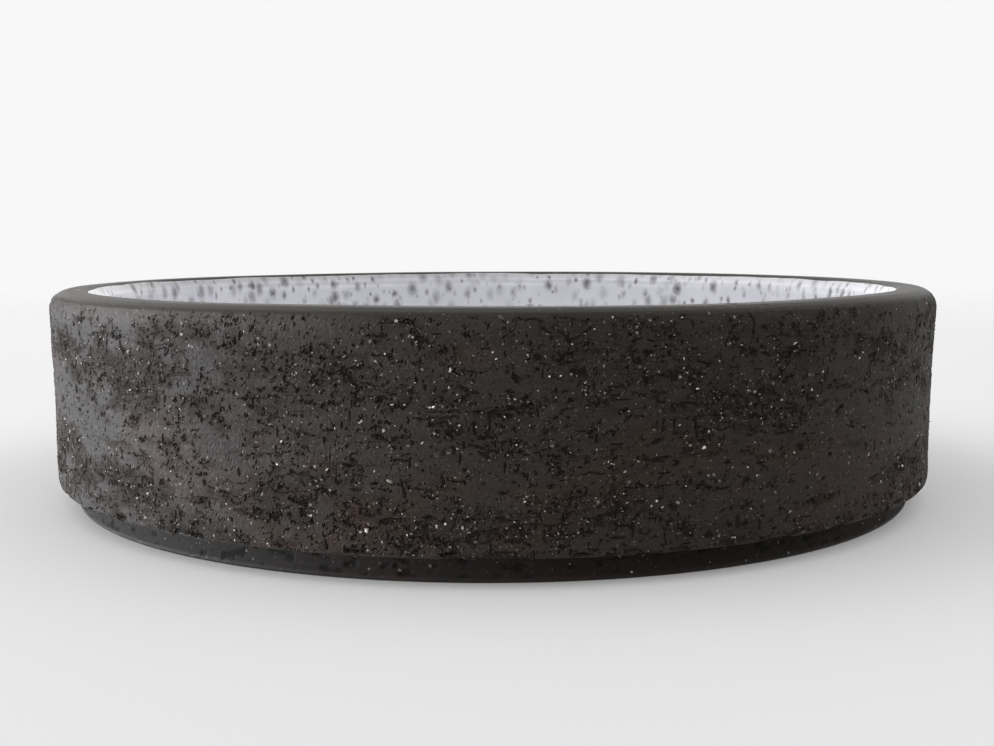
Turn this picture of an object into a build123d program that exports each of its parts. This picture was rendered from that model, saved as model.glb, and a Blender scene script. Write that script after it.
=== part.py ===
from build123d import *
import os
from math import atan, cos, degrees, hypot, pi, sqrt

# Ikebana suiban: a shallow round stoneware dish, glazed inside, with the needle-point stem
# holder (kenzan) that stands loose in its water.
# Millimetres, +Z up, origin at the centre of the foot, on the plane that the dish stands on.

# Dish, outside
height = 58.0
outer_radius = 125.2            # wall at the rim, before its edge is rounded
wall_taper = 0.8                # how far the wall draws in by its lower corner
rim_outer_round = 5.0
wall_corner_round = 1.0         # lower corner, above the undercut
foot_height = 6.4               # trimmed foot, up to the undercut
foot_inset = 5.2                # foot, back from the wall's lower corner
foot_edge_round = 1.0
undercut_round = 0.6
foot_ring_width = 13.0          # ring that the dish stands on
recess_depth = 3.2              # hollow of the underside, inside that ring
recess_round = 2.0

# Torn wall: the main tears that the trimming tool dragged through the coarse clay
tear_rows = 4
tear_pitch = 24.0               # along a row; the next row stands half a pitch on
tear_depth = 0.5                # deepest ones
tear_height = 4.6               # broadest ones
tear_lip = 0.18                 # share of a tear's height that its steep side takes
tear_tilt = 5.0                 # degrees off level, either way

# Dish, inside
rim_width = 11.6                # clay across the rim
rim_inner_round = 3.0
wall_base_width = 12.9          # clay across the wall at floor level
floor_thickness = 9.3
inside_corner_round = 11.0

# Glaze on the inside
glaze_thickness = 0.8
glaze_line_drop = 2.0           # bare clay between the rim's crest and the glaze
glaze_lip_round = 0.6

# Kenzan: cast weight, rubber ring and needles
weight_radius = 35.0
weight_thickness = 10.0
weight_edge_chamfer = 1.2
ring_wall = 1.8
ring_height = 6.5
ring_lip_width = 5.0            # lip of the rubber ring under the weight
ring_lip_thickness = 1.5
ring_edge_chamfer = 0.7
pin_radius = 0.8
pin_flats = 6
pin_pitch = 5.0
pin_edge_margin = 4.0           # weight's side to the outermost pin's centre
pin_reach = 14.0                # pin above the weight
pin_seat_depth = 6.0            # pin inside the weight
pin_point_length = 3.2
pin_point_radius = 0.12

# Levels and radii that follow
wall_base_radius = outer_radius - wall_taper
foot_radius = wall_base_radius - foot_inset
foot_ring_inner_radius = foot_radius - foot_ring_width
rim_inner_radius = outer_radius - rim_width
inside_base_radius = wall_base_radius - wall_base_width
floor_level = recess_depth + floor_thickness
inside_slope = (rim_inner_radius - inside_base_radius) / (height - floor_level)
glaze_line = height - glaze_line_drop
kenzan_level = floor_level + glaze_thickness
weight_bottom = kenzan_level + ring_lip_thickness
weight_top = weight_bottom + weight_thickness
ring_outer_radius = weight_radius + ring_wall
pin_bottom = weight_top - pin_seat_depth
pin_tip = weight_top + pin_reach
pin_shoulder = pin_tip - pin_point_length
pin_field_radius = weight_radius - pin_edge_margin


def turned(corners):
    """Solid turned about Z from a closed outline of (radius, level, rounding) corners."""
    points = [(radius, level) for radius, level, rounding in corners]
    roundings = [rounding for radius, level, rounding in corners]
    with BuildPart() as turning:
        with BuildSketch(Plane.XZ):
            with BuildLine():
                FilletPolyline(*points, radius=roundings, close=True)
            make_face()
        revolve(axis=Axis.Z)
    return turning.part


def stoneware_body():
    """Thrown dish: recessed foot, undercut, wall, rounded rim and coved inside."""
    return turned([
        (0, recess_depth, 0),
        (foot_ring_inner_radius, recess_depth, recess_round),
        (foot_ring_inner_radius, 0, foot_edge_round),
        (foot_radius, 0, foot_edge_round),
        (foot_radius, foot_height, undercut_round),
        (wall_base_radius, foot_height, wall_corner_round),
        (outer_radius, height, rim_outer_round),
        (rim_inner_radius, height, rim_inner_round),
        (inside_base_radius, floor_level, inside_corner_round),
        (0, floor_level, 0),
    ])


def scatter(index, stride):
    """Number from 0 to 1 that steps about evenly from one index to the next."""
    return (index * stride) % 1


def tear_cutter(depth, breadth, length):
    """Wedge laid along Y that cuts to the depth, with a steep upper side and a long lower one."""
    corners = [(-depth, 0), (depth, 2 * tear_lip * breadth), (depth, 2 * (tear_lip - 1) * breadth)]
    return extrude(Plane.XZ * make_face(Polyline(*corners, close=True)), length / 2, both=True)


def wall_tears():
    """Cutters set round the wall in staggered rows, no two alike."""
    per_row = round(2 * pi * outer_radius / tear_pitch)
    lowest = foot_height + 2 * wall_corner_round
    row_step = (height - rim_outer_round - lowest) / tear_rows
    cutters = []
    for index in range(tear_rows * per_row):
        row, column = divmod(index, per_row)
        turn = 360 / per_row * (column + 0.5 * (row % 2) + 0.25 * (scatter(index, 0.618) - 0.5))
        level = lowest + row_step * (row + 0.6 + 0.27 * (scatter(index, 0.755) - 0.5))
        depth = tear_depth * (0.5 + 0.5 * scatter(index, 0.57))
        breadth = tear_height * (0.6 + 0.4 * scatter(index, 0.325))
        tilt = tear_tilt * (2 * scatter(index, 0.845) - 1)
        wall = wall_base_radius + wall_taper * (level - foot_height) / (height - foot_height)
        cutter = tear_cutter(depth, breadth, 2.2 * sqrt(2 * wall * depth))
        cutters.append(Rot(Z=turn) * Pos(wall, 0, level) * Rot(X=tilt) * cutter)
    return cutters


def coat_radius(level):
    """Radius of the glazed wall at one level, the coat's thickness off the sloping clay."""
    clay_radius = inside_base_radius + inside_slope * (level - floor_level)
    return clay_radius - glaze_thickness * sqrt(1 + inside_slope ** 2)


def glaze_lining(body):
    """Even coat on the inside of the body, up to the glaze line, with a rounded upper lip."""
    coat_floor = floor_level + glaze_thickness
    coat_top = height + glaze_thickness
    fill = turned([
        (0, floor_level, 0),
        (outer_radius - rim_outer_round, floor_level, 0),
        (outer_radius - rim_outer_round, glaze_line, 0),
        (0, glaze_line, 0),
    ])
    hollow = turned([
        (0, coat_floor, 0),
        (coat_radius(coat_floor), coat_floor, inside_corner_round - glaze_thickness),
        (coat_radius(coat_top), coat_top, rim_inner_round + glaze_thickness),
        (outer_radius, coat_top, 0),
        (outer_radius, coat_top + glaze_thickness, 0),
        (0, coat_top + glaze_thickness, 0),
    ])
    coat = fill - body - hollow
    lip_edges = coat.edges().filter_by(GeomType.CIRCLE).group_by(Axis.Z)[-1]
    return fillet(lip_edges.sort_by(SortBy.RADIUS)[0], glaze_lip_round)


def pin_section(radius, level):
    """Cross-section of a pin at one level."""
    return Plane.XY.offset(level) * RegularPolygon(radius, pin_flats)


def pin_places():
    """Centres of the pins: a triangular grid cut to the round field."""
    row_step = pin_pitch * sqrt(3) / 2
    rows = int(pin_field_radius / row_step)
    columns = int(pin_field_radius / pin_pitch) + 1
    places = []
    for row in range(-rows, rows + 1):
        for column in range(-columns, columns + 1):
            x = pin_pitch * (column + 0.5 * (row % 2))
            y = row_step * row
            if hypot(x, y) <= pin_field_radius:
                places.append(Pos(x, y))
    return places


def kenzan_pins():
    """Needles of thin wire, modelled with a few flats each, ground to a point."""
    flat_shift = (pin_radius - pin_point_radius) * cos(pi / pin_flats)
    point_taper = degrees(atan(flat_shift / pin_point_length))
    shank = extrude(pin_section(pin_radius, pin_bottom), pin_shoulder - pin_bottom)
    point = extrude(pin_section(pin_radius, pin_shoulder), pin_point_length, taper=point_taper)
    pin = shank + point
    return Compound([place * pin for place in pin_places()])


def kenzan_base():
    """Cast weight with a blind seat for each pin."""
    weight = turned([
        (0, weight_bottom, 0),
        (weight_radius, weight_bottom, 0),
        (weight_radius, weight_top - weight_edge_chamfer, 0),
        (weight_radius - weight_edge_chamfer, weight_top, 0),
        (0, weight_top, 0),
    ])
    seat = extrude(pin_section(pin_radius, pin_bottom), pin_seat_depth)
    return weight - [place * seat for place in pin_places()]


def kenzan_rubber_ring():
    """Rubber ring stretched round the weight, with a lip under it to stand on."""
    lip_inner_radius = weight_radius - ring_lip_width
    ring_top = kenzan_level + ring_height
    return turned([
        (lip_inner_radius, kenzan_level, 0),
        (ring_outer_radius - ring_edge_chamfer, kenzan_level, 0),
        (ring_outer_radius, kenzan_level + ring_edge_chamfer, 0),
        (ring_outer_radius, ring_top - ring_edge_chamfer, 0),
        (ring_outer_radius - ring_edge_chamfer, ring_top, 0),
        (weight_radius, ring_top, 0),
        (weight_radius, weight_bottom, 0),
        (lip_inner_radius, weight_bottom, 0),
    ])


thrown_body = stoneware_body()
pieces = {
    "stoneware_body": thrown_body - wall_tears(),
    "glaze_lining": glaze_lining(thrown_body),
    "kenzan_base": kenzan_base(),
    "kenzan_pins": kenzan_pins(),
    "kenzan_rubber_ring": kenzan_rubber_ring(),
}

os.makedirs("parts", exist_ok=True)
for name, piece in pieces.items():
    export_step(piece, f"parts/{name}.step")
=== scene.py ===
"""Dresses the packed ikebana suiban: torn black stoneware, speckled glaze, kenzan, floor and light."""

import math

import bpy
import numpy as np
from bpy.props import FloatProperty, FloatVectorProperty, IntProperty, PointerProperty
from mathutils import Matrix, Vector


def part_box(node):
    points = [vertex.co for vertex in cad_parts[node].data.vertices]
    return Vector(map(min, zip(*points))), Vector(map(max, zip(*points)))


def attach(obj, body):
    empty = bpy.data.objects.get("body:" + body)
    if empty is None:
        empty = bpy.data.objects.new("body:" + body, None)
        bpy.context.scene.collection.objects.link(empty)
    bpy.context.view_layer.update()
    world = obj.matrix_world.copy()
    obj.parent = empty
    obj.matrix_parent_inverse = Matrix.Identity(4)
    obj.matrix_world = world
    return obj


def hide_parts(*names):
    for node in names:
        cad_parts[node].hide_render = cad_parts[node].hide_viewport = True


bl_info = {
    "name": "Ikebana suiban",
    "version": (1, 0, 0),
    "blender": (4, 5, 0),
    "location": "3D View > Sidebar > Suiban",
    "description": "Dresses a turned stoneware flower dish, its glaze and its pin holder",
    "category": "Object",
}

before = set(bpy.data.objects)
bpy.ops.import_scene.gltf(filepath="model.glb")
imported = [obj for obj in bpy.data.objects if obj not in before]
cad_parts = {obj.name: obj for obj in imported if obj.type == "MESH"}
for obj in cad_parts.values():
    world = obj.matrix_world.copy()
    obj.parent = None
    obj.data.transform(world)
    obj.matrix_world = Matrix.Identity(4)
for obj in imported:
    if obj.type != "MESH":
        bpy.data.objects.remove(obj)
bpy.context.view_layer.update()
MM = 0.001
BODY_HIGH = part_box("stoneware_body")[1]
GLAZE_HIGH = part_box("glaze_lining")[1]
WEIGHT_LOW, WEIGHT_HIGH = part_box("kenzan_base")
PINS_LOW, PINS_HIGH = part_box("kenzan_pins")
RING_LOW, RING_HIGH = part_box("kenzan_rubber_ring")


# Sizes and colours that a user would change


def length(name, description, metres):
    """A length, shown in the scene's units."""
    return FloatProperty(name=name, description=description, default=metres, unit="LENGTH", precision=5)


def angle(name, description, degrees):
    """An angle, shown in degrees."""
    return FloatProperty(name=name, description=description, default=math.radians(degrees), subtype="ANGLE")


def number(name, description, value):
    """A number of things."""
    return IntProperty(name=name, description=description, default=value, min=1)


def strength(name, description, value):
    """Strength of a light."""
    return FloatProperty(name=name, description=description, default=value, min=0.0)


def power(name, description, watts):
    """Power of a lamp."""
    return FloatProperty(name=name, description=description, default=watts, unit="POWER")


def place(name, description, *metres):
    """A point in the room."""
    return FloatVectorProperty(name=name, description=description, default=metres, subtype="TRANSLATION")


def colour(name, description, red, green, blue):
    """A linear colour with full alpha."""
    return FloatVectorProperty(
        name=name, description=description, default=(red, green, blue, 1.0), size=4, min=0.0, max=1.0,
        subtype="COLOR",
    )


class SuibanDish(bpy.types.PropertyGroup):
    """Turned form of the stoneware dish."""

    height: length("Height", "Rim above the table", BODY_HIGH.z)
    outer_radius: length("Outer radius", "Outside of the wall, carried up to the rim's level", 125.2 * MM)
    wall_taper: length("Wall taper", "How far the wall leans out on its way up", 0.8 * MM)
    rim_outer_round: length("Rim outer round", "Rounding of the rim's outer edge", 5.0 * MM)
    rim_inner_round: length("Rim inner round", "Rounding of the rim's inner edge", 3.0 * MM)
    rim_width: length("Rim width", "Width of the rim before its edges are rounded", 11.6 * MM)
    wall_corner_round: length("Wall corner round", "Rounding of the wall's lower corner", 1.0 * MM)
    foot_height: length("Foot height", "Height of the trimmed foot", 6.4 * MM)
    foot_inset: length("Foot inset", "How far the foot stands in from the wall", 5.2 * MM)
    foot_ring_width: length("Foot ring width", "Width of the ring that the dish stands on", 13.0 * MM)
    foot_edge_round: length("Foot edge round", "Rounding of the foot's edges", 1.0 * MM)
    undercut_round: length("Undercut round", "Rounding where foot and wall meet", 0.6 * MM)
    recess_depth: length("Recess depth", "Depth of the hollow inside the foot ring", 3.2 * MM)
    recess_round: length("Recess round", "Rounding inside that hollow", 2.0 * MM)
    wall_base_width: length("Wall base width", "Thickness of the wall at the inside floor", 12.9 * MM)
    floor_thickness: length("Floor thickness", "Clay between the hollow and the inside floor", 9.3 * MM)
    inside_corner_round: length("Inside corner round", "Curve from the inside floor to the wall", 11.0 * MM)
    tear_rows: number("Tear rows", "Rows of main tears up the wall", 4)
    tear_pitch: length("Tear pitch", "Distance between the main tears along a row", 24.0 * MM)
    tear_depth: length("Tear depth", "Depth of the deepest main tears", 0.5 * MM)
    tear_height: length("Tear height", "Height of the broadest main tears", 4.6 * MM)
    tear_lip: FloatProperty(name="Tear lip", description="Share of a tear's height that its steep side takes",
                            default=0.18, min=0.05, max=0.95, subtype="FACTOR")
    tear_tilt: angle("Tear tilt", "How far a main tear leans off level", 5.0)


class SuibanClay(bpy.types.PropertyGroup):
    """Torn surface and colours of the clay, with its painted highlight and painted shade."""

    grain_step: length("Grain step", "Spacing of the points that carry the torn surface", 0.24 * MM)
    pit_depth: length("Pit depth", "Depth of the small pits torn out by the grog", 0.40 * MM)
    gouge_depth: length("Gouge depth", "Depth of the wider gouges", 0.50 * MM)
    crack_depth: length("Crack depth", "Depth of the fine cracks dragged round the wall", 0.40 * MM)
    lip: length("Lip", "Burr pushed up round a pit", 0.16 * MM)
    sway: length("Sway", "Slow unevenness of the wall", 0.16 * MM)
    body: colour("Body", "Dry charcoal clay", 0.0270, 0.0243, 0.0206)
    warm: colour("Warm body", "Patches where iron reddens the clay", 0.0345, 0.0222, 0.0180)
    # Painted highlight: this pale colour lightens the pit lips, the rim's crest and the upper left of the
    # wall, where light catches them
    painted_highlight: colour("Dry lip", "Scuffed clay on the lips of the pits and along the rim", 0.105, 0.098, 0.090)
    # Dark clay of the pits, partly painted shade that shallow and bump-only pits can't cast; the foot and its
    # nicks are darkened toward it too
    pit: colour("Pit", "Clay deep inside a pit", 0.0060, 0.0055, 0.0049)
    grog_count: number("Grog grains", "Pale grains set in the clay", 6000)
    grog_pale: colour("Pale grog", "White fired grains", 0.70, 0.67, 0.60)
    grog_tan: colour("Tan grog", "Sandy fired grains", 0.30, 0.19, 0.11)


class SuibanGlaze(bpy.types.PropertyGroup):
    """Speckled lining."""

    thickness: length("Thickness", "Thickness of the glaze coat", 0.8 * MM)
    line: length("Glaze line", "Mean level where the glaze stops", GLAZE_HIGH.z + 1.1 * MM)
    line_wander: length("Line wander", "How far that line strays up and down", 0.14 * MM)
    ripple: length("Ripple", "Height of the throwing rings under the glaze", 0.05 * MM)
    ripple_pitch: length("Ripple pitch", "Distance between throwing rings", 8.5 * MM)
    milk: colour("Milk", "Thick glaze", 0.875, 0.88, 0.925)
    mist: colour("Mist", "Thinner glaze", 0.76, 0.76, 0.82)
    bare: colour("Bare edge", "Glaze drawn so thin along its line that the clay greys it", 0.36, 0.355, 0.35)
    iron: colour("Iron speck", "Iron that bleeds up from the clay", 0.040, 0.042, 0.055)


class SuibanKenzan(bpy.types.PropertyGroup):
    """Pin holder that stands in the dish."""

    weight_round: length("Weight round", "Rounding of the weight's edges", 1.2 * MM)
    ring_wall: length("Ring wall", "Thickness of the rubber round the weight", 1.8 * MM)
    ring_lip_width: length("Ring lip width", "How far the rubber reaches under the weight", 5.0 * MM)
    ring_round: length("Ring round", "Rounding of the rubber's edges", 0.7 * MM)
    pin_radius: length("Pin radius", "Radius of a pin's shank", 0.8 * MM)
    pin_pitch: length("Pin pitch", "Distance between neighbouring pins", 5.0 * MM)
    pin_margin: length("Pin margin", "Bare border round the pins", 4.0 * MM)
    pin_point: length("Pin point", "Length of the ground point", 3.2 * MM)
    pin_tip_radius: length("Pin tip radius", "Radius left at the very tip", 0.12 * MM)
    iron: colour("Iron", "Blackened cast iron", 0.060, 0.060, 0.062)
    rust: colour("Rust", "Brown bloom on the iron", 0.11, 0.052, 0.026)
    brass: colour("Brass", "Clean brass", 0.80, 0.56, 0.24)
    tarnish: colour("Tarnish", "Brass that has stood in water", 0.30, 0.17, 0.065)
    rubber: colour("Rubber", "Black rubber", 0.020, 0.020, 0.021)
    bloom: colour("Bloom", "Pale bloom on the rubber", 0.075, 0.074, 0.072)


class SuibanStage(bpy.types.PropertyGroup):
    """Floor, light and camera."""

    camera_distance: length("Camera distance", "Camera in front of the dish's axis", 370.9 * MM)
    camera_height: length("Camera height", "Camera above the floor", 72.36 * MM)
    camera_pitch: angle("Camera pitch", "Tilt below the horizon", 6.3709)
    camera_roll: angle("Camera roll", "Tilt to the side", -0.1725)
    lens: FloatProperty(name="Lens", description="Focal length in millimetres", default=44.91)
    shift: FloatProperty(name="Shift", description="Sideways shift of the frame", default=0.0043)
    floor_radius: length("Floor radius", "Where the floor has faded into the backdrop", 1.6)
    floor: colour("Floor", "Pale floor", 0.68, 0.68, 0.68)
    floor_glow: strength("Floor glow", "Light that the pale floor gives of itself", 0.18)
    backdrop: colour("Backdrop", "Backdrop as the camera sees it", 0.94, 0.94, 0.94)
    overhead: strength("Overhead", "Light from straight above", 0.82)
    front: strength("Front", "Light from halfway up in front", 1.3)
    left: strength("Left", "Light from halfway up on the left", 3.1)
    right: strength("Right", "Light from halfway up on the right", 2.2)
    behind: strength("Behind", "Light from low behind the dish", 3.1)
    window_power: power("Window power", "Power of the low light on the left", 45.0)
    window_place: place("Window place", "Middle of the low light on the left", -1.47, -0.13, 0.045)
    window_tint: colour("Window tint", "Colour of the low light on the left", 0.935, 0.94, 1.0)
    fill_power: power("Fill power", "Power of the low light on the right", 1.3)
    fill_place: place("Fill place", "Middle of the low light on the right", 1.45, 0.4, 0.045)
    fill_tint: colour("Fill tint", "Colour of the low light on the right", 1.0, 0.99, 0.97)


# Numbers: smooth steps, seeded noise, turned outlines


def ramp(value, low, high):
    """Smooth step from 0 at low to 1 at high."""
    t = np.clip((value - low) / (high - low), 0.0, 1.0)
    return t * t * (3.0 - 2.0 * t)


def noise(rng, shape, tall, wide):
    """Random field of unit spread, smoothed over tall rows and wide columns, that closes round the dish."""
    rows = np.fft.fftfreq(shape[0])[:, None] * tall
    columns = np.fft.rfftfreq(shape[1])[None, :] * wide
    smooth = np.exp(-2.0 * math.pi**2 * (rows**2 + columns**2))
    field = np.fft.irfft2(np.fft.rfft2(rng.standard_normal(shape)) * smooth, s=shape)
    return (field - field.mean()) / field.std()


def turned_outline(corners, closed=False):
    """Samples an outline of corners (radius, height, rounding, step).

    Gives the points, their outward normals, the length along the outline and the corner that each
    point belongs to. A corner's step also serves the straight run after it.
    """
    arcs = []
    for index, (radius, height, rounding, step) in enumerate(corners):
        corner = np.array((radius, height))
        if rounding == 0.0:
            arcs.append(corner[None, :])
            continue
        before = np.array(corners[index - 1][:2]) - corner
        after = np.array(corners[(index + 1) % len(corners)][:2]) - corner
        before, after = before / np.linalg.norm(before), after / np.linalg.norm(after)
        half = math.acos(float(before @ after)) / 2.0
        centre = corner + (before + after) / np.linalg.norm(before + after) * rounding / math.sin(half)
        start = corner + before * rounding / math.tan(half) - centre
        end = corner + after * rounding / math.tan(half) - centre
        sweep = math.pi - 2.0 * half
        t = np.linspace(0.0, 1.0, max(4, math.ceil(rounding * sweep / step)) + 1)[:, None]
        arcs.append(centre + (np.sin((1.0 - t) * sweep) * start + np.sin(t * sweep) * end) / math.sin(sweep))
    points, owner = [], []
    for index, arc in enumerate(arcs):
        run = [arc]
        if closed or index + 1 < len(arcs):
            gap = arcs[(index + 1) % len(arcs)][0] - arc[-1]
            count = max(1, math.ceil(np.linalg.norm(gap) / corners[index][3]))
            run.append(arc[-1] + gap * (np.arange(1, count) / count)[:, None])
        points += run
        owner += [index] * sum(map(len, run))
    points = np.concatenate(points)
    tangent = np.gradient(points, axis=0)
    tangent /= np.linalg.norm(tangent, axis=1)[:, None]
    normals = np.stack((tangent[:, 1], -tangent[:, 0]), axis=1)
    path = np.concatenate(([0.0], np.cumsum(np.linalg.norm(np.diff(points, axis=0), axis=1))))
    return points, normals, path, np.array(owner)


def spin(radius, height):
    """Turns rows of radius and height, one column per angle, into points round the axis."""
    turn = np.linspace(0.0, 2.0 * math.pi, radius.shape[1], endpoint=False)
    return np.stack((radius * np.cos(turn), radius * np.sin(turn), height), axis=2).reshape(-1, 3)


def capped(low, rings, columns, high):
    """Closes rings of points with a point on the axis at each end; gives the points and the counts."""
    points = np.concatenate((((0.0, 0.0, low),), rings, ((0.0, 0.0, high),)))
    return points, [1] + [columns] * (len(rings) // columns) + [1]


# Points of a fine ring to one of a plain ring, where the two join; the fans of faces are laid out for it
FINER = 4


def ring_faces(counts, closed=False):
    """Quads and triangles between rings of so many points: equal rings, a fine and a plain one, or a pole."""
    first = np.concatenate(([0], np.cumsum(counts)))
    quads, triangles = [np.empty((0, 4), int)], [np.empty((0, 3), int)]
    pairs = [(i, i + 1) for i in range(len(counts) - 1)] + ([(len(counts) - 1, 0)] if closed else [])

    def at(ring, index):
        return first[ring] + index % counts[ring]

    for low, high in pairs:
        a, b = counts[low], counts[high]
        j = np.arange(min(a, b) if min(a, b) > 1 else max(a, b))
        fine, fans = FINER * j, ()
        if a == b:
            quads.append(np.stack((at(low, j), at(low, j + 1), at(high, j + 1), at(high, j)), axis=1))
        elif a == 1:
            triangles.append(np.stack((at(low, 0 * j), at(high, j + 1), at(high, j)), axis=1))
        elif b == 1:
            triangles.append(np.stack((at(low, j), at(low, j + 1), at(high, 0 * j)), axis=1))
        elif b == FINER * a:
            fans = (
                (at(low, j), at(high, fine + 1), at(high, fine)),
                (at(low, j), at(high, fine + 2), at(high, fine + 1)),
                (at(low, j), at(low, j + 1), at(high, fine + 2)),
                (at(low, j + 1), at(high, fine + 3), at(high, fine + 2)),
                (at(low, j + 1), at(high, fine + 4), at(high, fine + 3)),
            )
        elif a == FINER * b:
            fans = (
                (at(low, fine), at(low, fine + 1), at(high, j)),
                (at(low, fine + 1), at(low, fine + 2), at(high, j)),
                (at(low, fine + 2), at(high, j + 1), at(high, j)),
                (at(low, fine + 2), at(low, fine + 3), at(high, j + 1)),
                (at(low, fine + 3), at(low, fine + 4), at(high, j + 1)),
            )
        else:
            raise ValueError(f"rings of {a} and {b} points don't join")
        triangles += [np.stack(fan, axis=1) for fan in fans]
    return np.concatenate(quads), np.concatenate(triangles)


def unrolled(faces, counts, path, bands, margin=0.004):
    """Bake coordinates for faces between rings.

    Each band (first ring, strips, low, high) is cut into strips that lie one above another between
    the levels low and high of the texture.
    """
    counts = np.array(counts)
    ring = np.repeat(np.arange(len(counts)), counts)
    first = np.concatenate(([0], np.cumsum(counts)[:-1]))
    turn = (np.arange(len(ring)) - first[ring]) / counts[ring]
    rings, turns = ring[faces], turn[faces]
    across = (turns.max(axis=1) - turns.min(axis=1) > 0.5)[:, None]
    turns = np.where(across & (turns < 0.5), turns + 1.0, turns)
    pole = counts[rings] == 1
    mean = np.where(pole, 0.0, turns).sum(axis=1) / np.maximum((~pole).sum(axis=1), 1)
    turns = np.where(pole, mean[:, None], turns)
    starts = [band[0] for band in bands]
    ends = starts[1:] + [len(counts) - 1]
    of_face = np.searchsorted(starts, rings.min(axis=1), side="right") - 1
    uv = np.empty(faces.shape + (2,))
    for index, (start, strips, low, high) in enumerate(bands):
        own = of_face == index
        t = (path[rings[own]] - path[start]) / (path[ends[index]] - path[start])
        strip = np.floor(turns[own].min(axis=1) * strips + 1e-6)[:, None]
        uv[own, :, 0] = margin + (turns[own] * strips - strip) * (1.0 - 2.0 * margin)
        pad = margin / (high - low) * strips
        uv[own, :, 1] = low + (high - low) * (strip + pad + t * (1.0 - 2.0 * pad)) / strips
    return uv


def make_piece(name, points, faces, material, uvs=None, smooth=True, **attributes):
    """Makes an object from points and arrays of faces, with bake coordinates and point attributes."""
    mesh = bpy.data.meshes.new(name)
    corners = np.concatenate([part.ravel() for part in faces])
    sizes = np.concatenate([np.full(len(part), part.shape[1]) for part in faces])
    mesh.vertices.add(len(points))
    mesh.vertices.foreach_set("co", points.astype(np.float32).ravel())
    mesh.loops.add(len(corners))
    mesh.loops.foreach_set("vertex_index", corners.astype(np.int32))
    mesh.polygons.add(len(sizes))
    mesh.polygons.foreach_set("loop_start", np.concatenate(([0], np.cumsum(sizes)[:-1])).astype(np.int32))
    mesh.polygons.foreach_set("use_smooth", np.full(len(sizes), smooth))
    mesh.update(calc_edges=True)
    if uvs is not None:
        flat = np.concatenate([part.reshape(-1, 2) for part in uvs]).astype(np.float32)
        mesh.uv_layers.new(name="OFBake").data.foreach_set("uv", flat.ravel())
    for key, values in attributes.items():
        layer = mesh.attributes.new(key, "FLOAT", "POINT")
        layer.data.foreach_set("value", values.astype(np.float32).ravel())
    if mesh.validate():
        raise RuntimeError(f"{name} has faces that don't hold together")
    mesh.materials.append(material)
    piece = bpy.data.objects.new(name, mesh)
    bpy.context.scene.collection.objects.link(piece)
    return piece


# Shader nodes


def feed(tree, node, inputs):
    """Links the inputs that are sockets and sets the others."""
    for key, value in inputs.items():
        if isinstance(value, bpy.types.NodeSocket):
            tree.links.new(value, node.inputs[key])
        else:
            node.inputs[key].default_value = value
    return node


def put(tree, kind, inputs=None, **settings):
    """Adds a node with its settings and inputs."""
    node = tree.nodes.new(kind)
    for key, value in settings.items():
        setattr(node, key, value)
    return feed(tree, node, inputs or {})


def calc(tree, operation, *values, clamp=False):
    """Adds a math node."""
    node = put(tree, "ShaderNodeMath", dict(enumerate(values)), operation=operation, use_clamp=clamp)
    return node.outputs[0]


def times(tree, first, second, clamp=False):
    """Product of two values."""
    return calc(tree, "MULTIPLY", first, second, clamp=clamp)


def between(tree, share, low, high):
    """Value from low, where share is 0, to high, where it is 1."""
    return calc(tree, "MULTIPLY_ADD", share, high - low, low)


def faded(tree, value, low, high, start=0.0, end=1.0, curve="SMOOTHSTEP"):
    """Value from start, where the given one is at low, to end, where it is at high."""
    return put(tree, "ShaderNodeMapRange", {
        "Value": value, "From Min": low, "From Max": high, "To Min": start, "To Max": end,
    }, interpolation_type=curve).outputs[0]


def vector(tree, operation, *values):
    """Adds a vector math node."""
    return put(tree, "ShaderNodeVectorMath", dict(enumerate(values)), operation=operation).outputs[0]


def mixed(tree, factor, first, second, blend="MIX"):
    """Adds a colour mix."""
    inputs = {0: factor, 6: first, 7: second}
    return put(tree, "ShaderNodeMix", inputs, data_type="RGBA", blend_type=blend).outputs[2]


def attribute(tree, name):
    """Reads a point attribute of the piece."""
    return put(tree, "ShaderNodeAttribute", attribute_name=name).outputs["Fac"]


def bump(tree, height, depth, strength=1.0):
    """Adds a bump node; depth is the height's full range in metres."""
    inputs = {"Height": height, "Distance": depth, "Strength": strength}
    return put(tree, "ShaderNodeBump", inputs).outputs["Normal"]


def stirred(tree, where, scale, reach):
    """Place moved about by noise of the given scale, by up to half of reach each way."""
    inputs = {"Vector": where, "Scale": scale, "Detail": 1.0}
    stir = put(tree, "ShaderNodeTexNoise", inputs).outputs["Color"]
    stir = vector(tree, "SUBTRACT", stir, (0.5, 0.5, 0.5))
    stir = put(tree, "ShaderNodeVectorMath", {0: stir, "Scale": reach}, operation="SCALE").outputs[0]
    return vector(tree, "ADD", where, stir)


def scattered_cells(tree, where, scale, dimensions="3D"):
    """Cells of a scattered pattern: the distance to a cell's middle, and three chances for each cell."""
    inputs = {"Vector": where, "Scale": scale}
    cells = put(tree, "ShaderNodeTexVoronoi", inputs, voronoi_dimensions=dimensions).outputs
    chance = put(tree, "ShaderNodeSeparateColor", {"Color": cells["Color"]}).outputs
    return cells["Distance"], chance["Red"], chance["Green"], chance["Blue"]


# Effects that several materials share


def new_group(name, inputs, outputs):
    """Starts a node group with float inputs and outputs."""
    tree = bpy.data.node_groups.new(name, "ShaderNodeTree")
    for label, value in inputs.items():
        socket = tree.interface.new_socket(label, in_out="INPUT", socket_type="NodeSocketFloat")
        socket.default_value = value
    for label in outputs:
        tree.interface.new_socket(label, in_out="OUTPUT", socket_type="NodeSocketFloat")
    return tree, tree.nodes.new("NodeGroupInput").outputs, tree.nodes.new("NodeGroupOutput")


def place_on_piece(tree, flatten):
    """Object position with its height stretched, so that a pattern on an upright wall lies flatter."""
    where = put(tree, "ShaderNodeTexCoord").outputs["Object"]
    stretch = put(tree, "ShaderNodeCombineXYZ", {"X": 1.0, "Y": 1.0, "Z": flatten}).outputs[0]
    return vector(tree, "MULTIPLY", where, stretch)


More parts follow.
